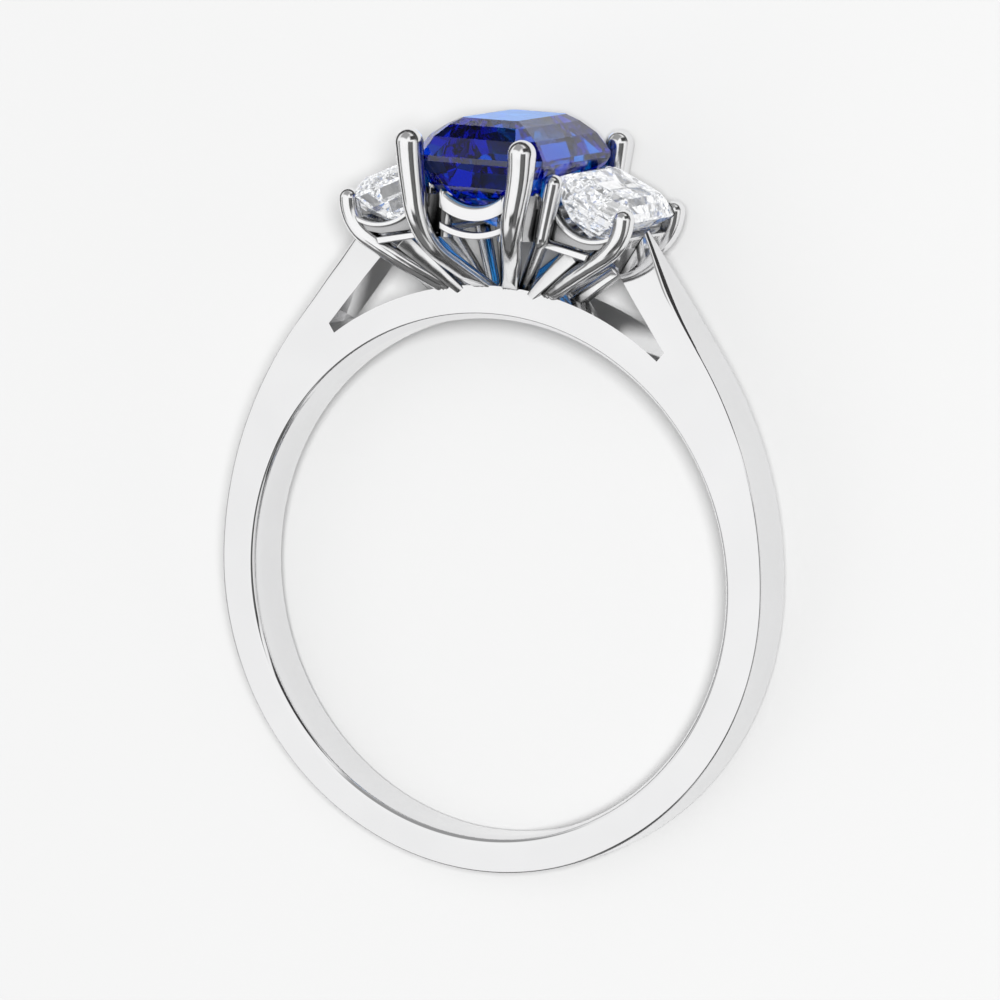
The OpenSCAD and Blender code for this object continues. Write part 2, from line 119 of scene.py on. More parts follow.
def outline(degrees):
    """Outer radius of the band and shoulder, with the turn into the shoulder drawn out softly."""
    reach = TURN_REACH * max(0, 1 - abs(degrees - TURN_AT) / TURN_SPREAD)
    near = range(-TURN_STEPS, TURN_STEPS + 1)
    return sum(sharp_outline(degrees + reach * k / TURN_STEPS) for k in near) / len(near)


def ring_point(radius, degrees, z=None):
    """A point of the ring. Where no z is given, it lies on the front face."""
    x, y = radius * math.cos(math.radians(degrees)), radius * math.sin(math.radians(degrees))
    return (x, y, half_width(x, y) if z is None else z)


def rim_round(degrees):
    """How far the outer edge is rounded off: little on the band, more along the shoulder."""
    return EDGE_ROUND + RIM_EXTRA * max(0, 1 - abs(degrees - RIM_AT) / RIM_SPREAD) ** RIM_FADE


def rounded_rim(outside, inward, degrees):
    """Points from the front face over the rounded edge to the outer wall."""
    r = rim_round(degrees)
    last_flat = outside + inward * (r + FLAT_TO_ROUND)
    points = [(last_flat[0], last_flat[1], half_width(*last_flat))]
    for a in QUARTER_TURN:
        p = outside + inward * r * (1 - math.sin(a))
        points.append((p[0], p[1], half_width(*p) - r * (1 - math.cos(a))))
    return points


def rounded_hole_edge(degrees):
    """Points from the finger hole over its rounded edge to the front face."""
    corner = np.array([EDGE_R, ring_point(EDGE_R, degrees)[2]])
    hole = np.array([comfort_radius(corner[1] - HOLE_ROUND), corner[1] - HOLE_ROUND])
    face = np.array([EDGE_R + HOLE_ROUND, ring_point(EDGE_R + HOLE_ROUND, degrees)[2]])
    turns = [(1 - u) ** 2 * hole + 2 * u * (1 - u) * corner + u ** 2 * face
             for u in np.linspace(0, 1, HOLE_ROUND_STEPS)]
    return [ring_point(float(r), degrees, float(z)) for r, z in turns]


def down_to_middle(point):
    """Points from one on the front face straight in to the middle of the ring's width."""
    return [(point[0], point[1], point[2] * share) for share in (1, 0.5, 0)]


SAME_POINT, NO_LENGTH = 1e-4, 1e-5


def weld(sheets, mirror=""):
    """One mesh from sheets of four-sided faces that meet edge to edge, mirrored where asked."""
    bm = bmesh.new()
    for sheet in sheets:
        rows = [[bm.verts.new(p) for p in row] for row in sheet]
        for a, b in zip(rows, rows[1:]):
            for i in range(len(a) - 1):
                bm.faces.new((a[i], a[i + 1], b[i + 1], b[i]))
    for axis in mirror:
        flip = Vector([-1.0 if axis == name else 1.0 for name in "xyz"])
        twin = bmesh.ops.duplicate(bm, geom=bm.verts[:] + bm.edges[:] + bm.faces[:])
        for v in twin["geom"]:
            if isinstance(v, bmesh.types.BMVert):
                v.co = v.co * flip
    bmesh.ops.remove_doubles(bm, verts=bm.verts, dist=SAME_POINT)
    bmesh.ops.dissolve_degenerate(bm, edges=bm.edges, dist=NO_LENGTH)
    bmesh.ops.recalc_face_normals(bm, faces=bm.faces)
    mesh = bpy.data.meshes.new("upright")
    bm.to_mesh(mesh)
    bm.free()
    return mesh


# The ring lies on its side, on the band's lower edge and two claws. LAID takes an upright shape in
# millimetres to its place on the floor in metres.
REST_TILT = math.radians(7.57586)
MILLIMETRE = 0.001
LAID = (Matrix.Scale(MILLIMETRE, 4) @ Matrix.Translation((0, -2.68761, 2.06879))
        @ Matrix.Rotation(REST_TILT, 4, "X"))
BEVEL_STEPS = 3
BEVEL_FROM = math.radians(33)


def metal_piece(name, mesh, finish, edge_round=EDGE_ROUND, seats=()):
    """Cuts the stones' seats, rounds the edges and lays an upright piece down as the ring rests."""
    drawn = bpy.data.objects.new(name, mesh)
    bpy.context.collection.objects.link(drawn)
    for stone in seats:
        cut = drawn.modifiers.new("seat", "BOOLEAN")
        cut.object, cut.operation, cut.solver = stone, "DIFFERENCE", "EXACT"
    if edge_round:
        bevel = drawn.modifiers.new("edges", "BEVEL")
        bevel.width, bevel.segments, bevel.limit_method = edge_round, BEVEL_STEPS, "ANGLE"
        bevel.angle_limit, bevel.harden_normals = BEVEL_FROM, True
        bevel.use_clamp_overlap = True
    for face in mesh.polygons:
        face.use_smooth = True
    depsgraph = bpy.context.evaluated_depsgraph_get()
    done = bpy.data.meshes.new_from_object(drawn.evaluated_get(depsgraph))
    bpy.data.objects.remove(drawn)
    done.transform(LAID)
    done.name = name
    done.materials.clear()
    done.materials.append(finish)
    piece = bpy.data.objects.new(name, done)
    bpy.context.collection.objects.link(piece)
    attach(piece, "root")
    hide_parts("ring_mount")


HAIRLINES_PER_M, CLOUDS_PER_M = 2600, 420
CLOUD_SHARE = 0.97
WAVE_DEPTH = 0.00001
# The occlusion values over which deep corners go from painted shade to full colour.
PAINTED_SHADE_FROM, PAINTED_SHADE_TO = 0.3, 0.82


def polished_white_metal(name, tone, dull, ripple, corners=1.0, depth=0.0008):
    """Mirror polish with the faint hairlines and the slight waviness that hand polishing leaves.
    Deep corners are darkened in colour by the share given, as painted shade."""
    finish = bpy.data.materials.new(name)
    finish.use_nodes = True
    nodes, links = finish.node_tree.nodes, finish.node_tree.links
    skin = nodes["Principled BSDF"]
    skin.inputs["Metallic"].default_value = 1.0
    place = nodes.new("ShaderNodeTexCoord")
    hairs = nodes.new("ShaderNodeTexNoise")
    hairs.inputs["Scale"].default_value = HAIRLINES_PER_M
    hairs.inputs["Detail"].default_value = 5
    hairs.inputs["Distortion"].default_value = 1.5
    gloss = nodes.new("ShaderNodeMapRange")
    gloss.inputs["To Min"].default_value, gloss.inputs["To Max"].default_value = dull
    cloud = nodes.new("ShaderNodeTexNoise")
    cloud.inputs["Scale"].default_value = CLOUDS_PER_M
    shade = nodes.new("ShaderNodeValToRGB")
    greyer, whiter = shade.color_ramp.elements
    greyer.position, greyer.color = 0.3, (*[c * CLOUD_SHARE for c in tone], 1)
    whiter.position, whiter.color = 0.7, (*tone, 1)
    wave = nodes.new("ShaderNodeBump")
    wave.inputs["Strength"].default_value = ripple
    wave.inputs["Distance"].default_value = WAVE_DEPTH
    # Painted shade: an occlusion test darkens the base colour in deep corners.
    reach = nodes.new("ShaderNodeAmbientOcclusion")
    reach.samples, reach.only_local = 8, False
    reach.inputs["Distance"].default_value = depth
    deep = nodes.new("ShaderNodeMapRange")
    deep.inputs["From Min"].default_value = PAINTED_SHADE_FROM
    deep.inputs["From Max"].default_value = PAINTED_SHADE_TO
    deep.inputs["To Min"].default_value = corners
    darker = nodes.new("ShaderNodeVectorMath")
    darker.operation = "SCALE"
    for source, target in (
            (place.outputs["Object"], hairs.inputs["Vector"]),
            (place.outputs["Object"], cloud.inputs["Vector"]),
            (hairs.outputs["Fac"], gloss.inputs["Value"]),
            (gloss.outputs["Result"], skin.inputs["Roughness"]),
            (cloud.outputs["Fac"], shade.inputs["Fac"]),
            (reach.outputs["AO"], deep.inputs["Value"]),
            (shade.outputs["Color"], darker.inputs[0]),
            (deep.outputs["Result"], darker.inputs["Scale"]),
            (darker.outputs["Vector"], skin.inputs["Base Color"]),
            (cloud.outputs["Fac"], wave.inputs["Height"]),
            (wave.outputs["Normal"], skin.inputs["Normal"])):
        links.new(source, target)
    return finish


band_finish = polished_white_metal("band_polish", tone=(0.83, 0.83, 0.835), dull=(0.03, 0.09),
                                   ripple=0.15)

# The casting is drawn as one quarter: the band and bridge in steps round the hole, then the
# shoulder in steps from the corner of the gap to its tip.
BELOW_STEPS, ABOVE_STEPS, SHOULDER_STEPS = 96, 27, 13
BORE_SHARES = (0, 0.3, 0.49, 0.6, 0.7, 0.8, 0.87)
hole_rim = EDGE_R + HOLE_ROUND
corner_r = outline(GAP_CORNER)
low_share = (BRIDGE_R - EDGE_R) / (corner_r - EDGE_R)
high_share = (GAP_CORNER_R - EDGE_R) / (corner_r - EDGE_R)
below = [float(a) for a in np.linspace(PALM, GAP_CORNER, BELOW_STEPS)]
above = [float(a) for a in np.linspace(GAP_CORNER, TOP, ABOVE_STEPS)]
bore, front_inner, front_outer, outer_wall = [], [], [], []
for degrees in below + above[1:]:
    in_band = degrees <= GAP_CORNER
    strip_r = EDGE_R + low_share * (outline(degrees) - EDGE_R) if in_band else BRIDGE_R
    edge_half = ring_point(EDGE_R, degrees)[2]
    bore.append([ring_point(comfort_radius(edge_half * s), degrees, edge_half * s)
                 for s in BORE_SHARES] + rounded_hole_edge(degrees))
    front_inner.append([ring_point(hole_rim + (strip_r - hole_rim) * s, degrees)
                        for s in (0, 0.5, 1)])
    if in_band:
        rim_r = outline(degrees)
        rim = rounded_rim(rim_r * way_at(degrees), -way_at(degrees), degrees)
        front_outer.append([ring_point(EDGE_R + (rim_r - EDGE_R) * s, degrees)
                            for s in (low_share, high_share, (1 + high_share) / 2)] + rim)
        outer_wall.append(down_to_middle(rim[-1]))
bridge_top = [down_to_middle(ring_point(BRIDGE_R, a)) for a in above]
gap_end = [down_to_middle(ring_point(r, GAP_CORNER)) for r in (BRIDGE_R, GAP_CORNER_R)]
gap_high = GAP_CORNER_R * way_at(GAP_CORNER)
tip_degrees = math.degrees(math.atan2(SHOULDER_TIP[1], SHOULDER_TIP[0]))
shoulder_front, shoulder_under, shoulder_outside = [], [], []
for share in np.linspace(0, 1, SHOULDER_STEPS):
    inside = gap_high + (SHOULDER_HEEL - gap_high) * share
    degrees = GAP_CORNER + share * (tip_degrees - GAP_CORNER)
    outside = outline(degrees) * way_at(degrees)
    inward = (inside - outside) / np.linalg.norm(inside - outside)
    # The first section has the same points as the band's last one.
    if share == 0:
        inward = -way_at(degrees)
    across = [inside + (outside - inside) * s for s in (0, 0.5)]
    shoulder_front.append([(p[0], p[1], half_width(*p)) for p in across]
                          + rounded_rim(outside, inward, degrees))
    shoulder_under.append(down_to_middle(shoulder_front[-1][0]))
    shoulder_outside.append(down_to_middle(shoulder_front[-1][-1]))
shoulder_end = [down_to_middle(p) for p in shoulder_front[-1]]
metal_piece("shank", weld(
    [bore, front_inner, front_outer, outer_wall, bridge_top, gap_end,
     shoulder_front, shoulder_under, shoulder_outside, shoulder_end], mirror="xz"), band_finish)

# The stones lie in seats that are cut into the claws and rails, a hair wider than the stone so
# that it drops in. Each cutter is the stone itself, made larger by that clearance, and is thrown
# away after the last cut.
SEAT_CLEARANCE = 0.04
STONE_SAME_POINT = 1e-3
GIRDLE_Y = 13.45
SIDE_X, SIDE_Y, SIDE_TILT = 3.60464, 12.38, math.radians(24)


def seat_cutter(node, middle, turn):
    """The stone of a node, put upright again and grown about its own middle."""
    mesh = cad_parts[node].data.copy()
    own = Matrix.Translation(middle) @ Matrix.Rotation(turn, 4, "Z")
    mesh.transform(own.inverted() @ LAID.inverted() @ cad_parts[node].matrix_world)
    points = np.array([v.co for v in mesh.vertices])
    low, high = points.min(axis=0), points.max(axis=0)
    for v in mesh.vertices:
        for k in range(3):
            v.co[k] += SEAT_CLEARANCE * (2 * v.co[k] - high[k] - low[k]) / (high[k] - low[k])
    mesh.transform(own)
    bm = bmesh.new()
    bm.from_mesh(mesh)
    bmesh.ops.remove_doubles(bm, verts=bm.verts, dist=STONE_SAME_POINT)
    bm.to_mesh(mesh)
    bm.free()
    cutter = bpy.data.objects.new("seat_" + node, mesh)
    bpy.context.collection.objects.link(cutter)
    return cutter


seats = [seat_cutter("centre_sapphire", (0, GIRDLE_Y, 0), 0),
         seat_cutter("side_diamond_right", (SIDE_X, SIDE_Y, 0), -SIDE_TILT),
         seat_cutter("side_diamond_left", (-SIDE_X, SIDE_Y, 0), SIDE_TILT)]

# Four centre claws, one at each corner of the blue stone. Each is round wire, soldered to the
# bridge, that sweeps out and bends up to the stone, and is burnished over it with a round head.
# The front two bow out on their way up.
CLAW_FOOT = (0.19, 0.4)
CLAW_FOOT_Y, CLAW_HEAD_Z = 9.05, 3.435
CENTRE_CLAWS = (("front_right", (1, 1), (2.0, 13.9), 0.2),
                ("front_left", (-1, 1), (1.97, 14.01), 0.14),
                ("rear_right", (1, -1), (2.09, 13.77), 0),
                ("rear_left", (-1, -1), (2.0, 13.85), 0))
CLAW_SLOPES = (math.radians(32), math.radians(84))
CLAW_BEND = 2.5
CLAW_R = (0.25, 0.46)
TAPER, REAR_TAPER = 0.95, 1.15
BOW_SHARPNESS = 3
FOOT_STEPS, BEND_STEPS, HEAD_STEPS = 6, 24, 8
WIRE_STEP, WIRE_SIDES = 0.1, 28
DOME_TURNS = np.radians([10, 20, 30, 40, 50, 60, 70, 80, 90])


def bent_line(run, rise, slopes, bend_r):
    """Line of a bent wire as [along, up] pairs: straight, a bend, and straight again."""
    low, high = slopes
    bend_run = bend_r * (math.sin(high) - math.sin(low))
    bend_rise = bend_r * (math.cos(low) - math.cos(high))
    first = (((run - bend_run) * math.sin(high) - (rise - bend_rise) * math.cos(high))
             / math.sin(high - low))
    start = first * np.array([math.cos(low), math.sin(low)])
    hub = start + bend_r * np.array([-math.sin(low), math.cos(low)])
    turn = [hub + bend_r * np.array([math.sin(a), -math.cos(a)])
            for a in np.linspace(low, high, BEND_STEPS)]
    end = np.array([run, rise])
    straight = [turn[-1] + (end - turn[-1]) * k / HEAD_STEPS for k in range(1, HEAD_STEPS + 1)]
    return [turn[0] * k / FOOT_STEPS for k in range(FOOT_STEPS)] + turn + straight


def evenly_spaced(line, count=None):
    """Points evenly spaced along a line with corners: so many, or else one for each wire step."""
    line = np.array(line, float)
    travelled = np.concatenate([[0], np.cumsum(np.linalg.norm(np.diff(line, axis=0), axis=1))])
    stops = np.linspace(0, travelled[-1], count or max(3, int(travelled[-1] / WIRE_STEP)))
    return np.stack([np.interp(stops, travelled, column) for column in line.T], axis=1)


# Near the bridge a wire is filed down, just under the sides of the metal that it stands on.
FILED_UNDER, FILED_NEAR, FILED_EASE = 0.02, 0.05, 2.5


def filed_flush(p):
    """The point of a wire, held inside the metal's sides near the bridge and free above it."""
    free = FILED_EASE * max(0, math.hypot(p[0], p[1]) - BRIDGE_R + FILED_NEAR)
    limit = half_width(p[0], p[1]) - FILED_UNDER + free
    return (float(p[0]), float(p[1]), float(min(max(p[2], -limit), limit)))


def claw_wire(path, radii, beside, taper=TAPER):
    """Tapered round wire along a line, closed at the foot and domed at its last point."""
    path = evenly_spaced(path)
    ways = np.gradient(path, axis=0)
    ways /= np.linalg.norm(ways, axis=1)[:, None]
    climbed = np.clip((path[:, 1] - path[0, 1]) / (path[-1, 1] - path[0, 1]), 0, 1)
    thickness = radii[0] + (radii[1] - radii[0]) * climbed ** taper
    turns = np.linspace(0, 2 * math.pi, WIRE_SIDES + 1)

    def ring(centre, way, r):
        a = np.array(beside, float) - (np.array(beside) @ way) * way
        a /= np.linalg.norm(a)
        b = np.cross(a, way)
        return [filed_flush(centre + r * (math.cos(t) * a + math.sin(t) * b)) for t in turns]

    rings = [ring(path[0], ways[0], 0.0)]
    rings += [ring(p, w, r) for p, w, r in zip(path, ways, thickness)]
    for lift in DOME_TURNS:
        rings.append(ring(path[-1] + radii[1] * math.sin(lift) * ways[-1], ways[-1],
                          radii[1] * math.cos(lift)))
    return rings


def claw_line_to(head_x, head_y, bow_out=0.0):
    """Line of a centre claw whose head ends at that place, in front and on the right. On its way
    it may bow out a little, along the finger."""
    plan = np.array((head_x, CLAW_HEAD_Z)) - CLAW_FOOT
    run, rise = float(np.linalg.norm(plan)), head_y - CLAW_FOOT_Y
    line = []
    for out, up in bent_line(run, rise, CLAW_SLOPES, CLAW_BEND):
        bowed = bow_out * math.sin(math.pi * up / rise) ** BOW_SHARPNESS
        line.append((CLAW_FOOT[0] + (plan[0] * out - plan[1] * bowed) / run, CLAW_FOOT_Y + up,
                     CLAW_FOOT[1] + (plan[1] * out + plan[0] * bowed) / run))
    return line


# The claws and all the small work are polished by hand with a felt point, which leaves a softer
# gloss than the wheel. Their deep corners are darkened in colour: painted shade.
claw_finish_with_painted_shade = polished_white_metal("claw_polish_with_painted_shade", tone=(0.88, 0.88, 0.885), dull=(0.10, 0.20),
                                   ripple=0.1, corners=0.2)
for name, (across, along), head, bow_out in CENTRE_CLAWS:
    line = np.array(claw_line_to(*head, bow_out)) * (across, 1, along)
    aside = (line[-1][2] - line[0][2], 0, line[0][0] - line[-1][0])
    taper = TAPER if along > 0 else REAR_TAPER
    metal_piece("centre_claw_" + name, weld([claw_wire(line, CLAW_R, aside, taper)]), claw_finish_with_painted_shade,
                edge_round=0, seats=seats)

# Two rails join the centre claws on all four sides: an upper one, scalloped in a bow so that the
# blue stone shows under its girdle, and a slim lower one that braces the basket. A plate across
# each corner joins them, and a web is soldered between it and the claw outside it.
RAIL_T = 0.36
RAIL_STEPS = 45
UPPER_RAIL_Y, UPPER_RAIL_H, UPPER_LIP = BRIDGE_R + 2.7, 0.48, 0.19
LOWER_RAIL_Y, LOWER_RAIL_H, LOWER_LIP = BRIDGE_R + 1.85, 0.22, 0.04
RAIL_Z, RAIL_X, CORNER_CUT = 2.845, 1.97, 0.92
TRIM_ROUND = 0.04
CORNER_RISE = 0.38
WEB_SHORT, WEB_HALF_T = 0.1, 0.14
WEB_CLAW_HEAD = (1.97, 13.85)
BAR_STEPS = 5
BAR_CORNERS = ((1, 1), (-1, 1), (-1, -1), (1, -1), (1, 1))


def trim_piece(name, runs, mirror="xz"):
    """A small piece of the baskets with its edges stoned down, given as runs of sections."""
    metal_piece(name, weld(runs, mirror), claw_finish_with_painted_shade, edge_round=TRIM_ROUND, seats=seats)


def bowed_rail(half, low, radius, height, lip):
    """A rail that sags between two corners, as sections across the hand, its upper edge rounded."""
    section = [(radius, -RAIL_T / 2)]
    section += [(radius + lip * (1 - math.cos(a)), RAIL_T / 2 - lip * (1 - math.sin(a)))
                for a in QUARTER_TURN]
    section += [(radius + height, RAIL_T / 2), (radius + height, -RAIL_T / 2)]
    return [[(x, low + radius - math.sqrt(r ** 2 - x ** 2), z) for r, z in section + section[:1]]
            for x in np.linspace(-half, half, RAIL_STEPS)]


def capped(rings):
    """Closes both ends of a run of sections with a flat face."""
    def flat(ring):
        middle = tuple(np.mean(np.array(ring[:-1]), axis=0))
        return [middle] * len(ring)
    return [flat(rings[0])] + rings + [flat(rings[-1])]


def rail_placed(rings, across=0.0, along=0.0, quarter=False):
    """Moves sections across the hand or along the finger, after a quarter turn where asked."""
    turned = [[(p[2], p[1], p[0]) if quarter else p for p in ring] for ring in rings]
    return [[(p[0] + across, p[1], p[2] + along) for p in ring] for ring in turned]


def flat_bar(start, end, half_start, half_end):
    """Flat bar between two sections, each given by its half widths across and along the finger.
    A bar that runs along the finger leans with the side stones."""
    start, end = np.array(start, float), np.array(end, float)
    way = (end - start) / np.linalg.norm(end - start)
    a = np.cross(way, (0, 0, 1))
    if np.linalg.norm(a) < 0.01:
        a = np.array([math.cos(SIDE_TILT), -math.sin(SIDE_TILT), 0.0])
    a /= np.linalg.norm(a)
    b = np.cross(a, way)
    rings = []
    for share in np.linspace(0, 1, BAR_STEPS):
        half = np.array(half_start) + (np.array(half_end) - half_start) * share
        middle = start + (end - start) * share
        rings.append([tuple(middle + c[0] * half[0] * a + c[1] * half[1] * b)
                      for c in BAR_CORNERS])
    return capped(rings)


corner_x, corner_z = RAIL_X - CORNER_CUT, RAIL_Z - CORNER_CUT
lap = RAIL_T / 4
short_side = {"along": RAIL_Z - RAIL_T / 2}
long_side = {"across": RAIL_X - RAIL_T / 2, "quarter": True}
upper, lower = (UPPER_RAIL_H, UPPER_LIP), (LOWER_RAIL_H, LOWER_LIP)
for name, corner, low, bow_r, (height, lip), side, mirror in (
        ("upper_rails_short", corner_x, UPPER_RAIL_Y, 1.49, upper, short_side, "z"),
        ("lower_rails_short", corner_x, LOWER_RAIL_Y, 2.4, lower, short_side, "z"),
        ("upper_rails_long", corner_z, UPPER_RAIL_Y, 4.36, upper, long_side, "x"),
        ("lower_rails_long", corner_z, LOWER_RAIL_Y, 20.0, lower, long_side, "x")):
    rail = capped(bowed_rail(corner + lap, low, bow_r, height, lip))
    trim_piece(name, [rail_placed(rail, **side)], mirror)

corner_low, corner_top = LOWER_RAIL_Y - LOWER_RAIL_H, UPPER_RAIL_Y + CORNER_RISE
corner_half = (corner_top - corner_low) / 2
corner_y = corner_low + corner_half
corner_in = RAIL_T / 2 / math.sqrt(2)
plate_start = np.array([corner_x - corner_in, corner_y, RAIL_Z - corner_in])
plate_end = np.array([RAIL_X - corner_in, corner_y, corner_z - corner_in])
plate_half = (corner_half, RAIL_T / 2)
trim_piece("basket_corners", [flat_bar(plate_start, plate_end, plate_half, plate_half)])
claw_line = np.array(claw_line_to(*WEB_CLAW_HEAD))
claw_there = np.array([np.interp(corner_y, claw_line[:, 1], claw_line[:, k]) for k in range(3)])
web_half = (corner_half - WEB_SHORT, WEB_HALF_T)
trim_piece("claw_webs", [flat_bar((plate_start + plate_end) / 2, claw_there, web_half, web_half)])

# Each side stone stands in four slimmer claws of round wire, burnished over it: two outer ones
# that sweep out from the bridge, and two inner ones beside the blue stone, which run down to the
# bridge as a thin wire. All are soldered a little way into it.
SIDE_HALF_W, SIDE_HALF_L = 1.45, 1.95
SIDE_CLAW_R = (0.28, 0.34)
FOOT_SINK = 0.2
OUTER_FOOT = (1.55, 0.6)
OUTER_SLOPES = (math.radians(32), math.radians(86))
OUTER_BEND = 1.5
OUTER_HEAD = (SIDE_HALF_W - 0.12, 0.08, SIDE_HALF_L - 0.1)
INNER_FOOT = (0.72, 0.42)
INNER_KNEE = (-0.85, -1.75, SIDE_HALF_L + 0.12)
INNER_HEAD = (0.14 - SIDE_HALF_W, -0.06, SIDE_HALF_L - 0.02)
INNER_SLIM = 0.7


def at_side_stone(out, up, z=0.0):
    """A place given in a side stone's own leaning axes."""
    return np.array([SIDE_X + out * math.cos(SIDE_TILT) + up * math.sin(SIDE_TILT),
                     SIDE_Y - out * math.sin(SIDE_TILT) + up * math.cos(SIDE_TILT), z])


def on_bridge(x):
    """Height of a foot that is sunk into the bridge."""
    return math.sqrt(BRIDGE_R ** 2 - x ** 2) - FOOT_SINK


outer_head = at_side_stone(*OUTER_HEAD)
outer_foot_y = on_bridge(OUTER_FOOT[0])
outer_run = outer_head[0] - OUTER_FOOT[0]
outer_line = [
    (OUTER_FOOT[0] + out, outer_foot_y + up,
     OUTER_FOOT[1] + (outer_head[2] - OUTER_FOOT[1]) * math.sin(math.pi / 2 * out / outer_run))
    for out, up in bent_line(outer_run, outer_head[1] - outer_foot_y, OUTER_SLOPES, OUTER_BEND)]
inner_line = [(INNER_FOOT[0], BRIDGE_R - FOOT_SINK, INNER_FOOT[1]),
              at_side_stone(*INNER_KNEE), at_side_stone(*INNER_HEAD)]
side_claws = [claw_wire(outer_line, SIDE_CLAW_R, (0, 0, 1)),
              claw_wire(inner_line, (SIDE_CLAW_R[0] * INNER_SLIM, SIDE_CLAW_R[1]), (0, 0, 1))]
metal_piece("side_claws", weld(side_claws, mirror="xz"), claw_finish_with_painted_shade, edge_round=0, seats=seats)

# Between those claws a side basket has a plate of sheet in front and behind, cut out in a scallop
# under the stone, with a bead soldered along the cut. The plate is only brushed, since no wheel
# gets in behind the claws, so its gloss is softer. Its colour is set much darker, and near black in
# its deep corners: painted shade.
SCALLOP_R = SIDE_HALF_W + 0.04
SCALLOP_MIDDLE = (0.05, 0.4)
SCALLOP_DROP = 0.9
PLATE_Z = SIDE_HALF_L - 0.06
PLATE_T = 0.3
PLATE_OUT = SIDE_HALF_W + 0.07
PLATE_TURN = 0.06
PLATE_STEPS = 40
PLATE_ROUND = 0.03
LOW_IN, LOW_OUT = np.array([-0.92, -1.74]), np.array([0.62, -1.38])
PLATE_FOOT = ((-1.3, -0.5), LOW_IN, LOW_OUT, (1.08, -1.1), (1.36, -0.5))
BEAD_W, BEAD_PROUD = 0.15, 0.07


def plate_between(upper, lower, z, thick, turn=0.0):
    """Flat plate between an upper and a lower line of a side basket, as a run of sections. It may
    be turned to face the blue stone, about its outer end."""
    rings = []
    for a, b in zip(upper, lower):
        ring = [at_side_stone(*p, z + side * thick / 2 - turn * (PLATE_OUT - p[0]))
                for side, p in ((1, a), (1, b), (-1, b), (-1, a))]
        rings.append([tuple(p) for p in ring + ring[:1]])
    return rings


# Painted shade: a dark tone, and corners darkened almost to black.
plate_finish_with_painted_shade = polished_white_metal("plate_polish_with_painted_shade", tone=(0.5, 0.5, 0.505), dull=(0.2, 0.3),
                                    ripple=0.1, corners=0.02, depth=0.0016)
scallop_end = math.asin(SCALLOP_DROP / SCALLOP_R)
scallop = [
    (SCALLOP_MIDDLE[0] + SCALLOP_R * math.cos(a), SCALLOP_MIDDLE[1] + SCALLOP_R * math.sin(a))
    for a in np.linspace(math.pi + scallop_end, 2 * math.pi - scallop_end, PLATE_STEPS)]
plate_foot = evenly_spaced(PLATE_FOOT, PLATE_STEPS)
plate = plate_between(scallop, plate_foot, PLATE_Z, PLATE_T, PLATE_TURN)
metal_piece("side_plates", weld([capped(plate)], mirror="xz"), plate_finish_with_painted_shade,
            edge_round=PLATE_ROUND, seats=seats)
under_scallop = [
    tuple(middle + (SCALLOP_R + BEAD_W) * (at - middle) / SCALLOP_R
          for at, middle in zip(p, SCALLOP_MIDDLE)) for p in scallop]
bead = plate_between(scallop, under_scallop, PLATE_Z, PLATE_T + 2 * BEAD_PROUD, PLATE_TURN)
trim_piece("side_rims", [capped(bead)])

# Under each plate runs a slim rail of flat wire, soldered from claw to claw a little below it. A
# cross rail joins the front one to the rear one under the basket's inner end.
LOW_RAIL_GAP, LOW_RAIL_LAP = 0.07, 0.02
LOW_RAIL_OUT, LOW_RAIL_LIFT = 0.18, 0.03
LOW_RAIL_T = RAIL_T + 0.04
CROSS_RAIL_IN = 0.06

low_rail_drop = np.array([0, LOW_RAIL_GAP + LOWER_RAIL_H - LOW_RAIL_LAP])
rail_top = [LOW_IN - [0, LOW_RAIL_GAP], LOW_OUT + [LOW_RAIL_OUT, LOW_RAIL_LIFT - LOW_RAIL_GAP]]
rail_foot = [LOW_IN - low_rail_drop, LOW_OUT + [LOW_RAIL_OUT, 0] - low_rail_drop]
lower_rail = capped(plate_between(rail_top, rail_foot, PLATE_Z, LOW_RAIL_T))
cross_at = (LOW_IN[0] + CROSS_RAIL_IN + RAIL_T / 2,
            LOW_IN[1] - low_rail_drop[1] + LOWER_RAIL_H / 2)
cross_half = (RAIL_T / 2, LOWER_RAIL_H / 2)
cross_rail = flat_bar(at_side_stone(*cross_at, PLATE_Z), at_side_stone(*cross_at, 0),
                      cross_half, cross_half)
trim_piece("side_lower_rails", [lower_rail, cross_rail[:-1]])

# Two flat legs and one strut carry each side basket. They are filed from bar and soldered to the
# bridge: the legs stand under the front and rear plate, the strut under the outer end.
BASKET_H = 2.07
BAR_HALF = 0.17
LEG_FOOT = (1.2, 0.8)
LEG_HEAD = (0.15, 0.32 - BASKET_H, PLATE_Z - 0.3)
LEG_HALVES = (0.14, 0.3)
STRUT_FOOT_X = 2.3
STRUT_HEAD = (PLATE_OUT - RAIL_T / 2 - 0.1, 0.2 - BASKET_H)
STRUT_HALVES = (0.3, 0.4)

leg = flat_bar((LEG_FOOT[0], on_bridge(LEG_FOOT[0]), LEG_FOOT[1]), at_side_stone(*LEG_HEAD),
               (LEG_HALVES[0], BAR_HALF), (LEG_HALVES[1], BAR_HALF))
trim_piece("side_legs", [leg])
strut = flat_bar((STRUT_FOOT_X, on_bridge(STRUT_FOOT_X), 0), at_side_stone(*STRUT_HEAD),
                 (BAR_HALF, STRUT_HALVES[0]), (BAR_HALF, STRUT_HALVES[1]))
trim_piece("side_struts", [strut], mirror="x")

# The outer plate closes the basket's end. It is sheet with a rounded lower edge, soldered under a
# straight bar that runs between the outer claws.
END_INSET = 0.02
END_TOP, END_MIDDLE, END_R, END_STEPS = -0.62, -0.77, 1.3, 17
END_BAR_UP, END_BAR_SHORT, END_BAR_HALF = -0.76, 0.1, 0.22

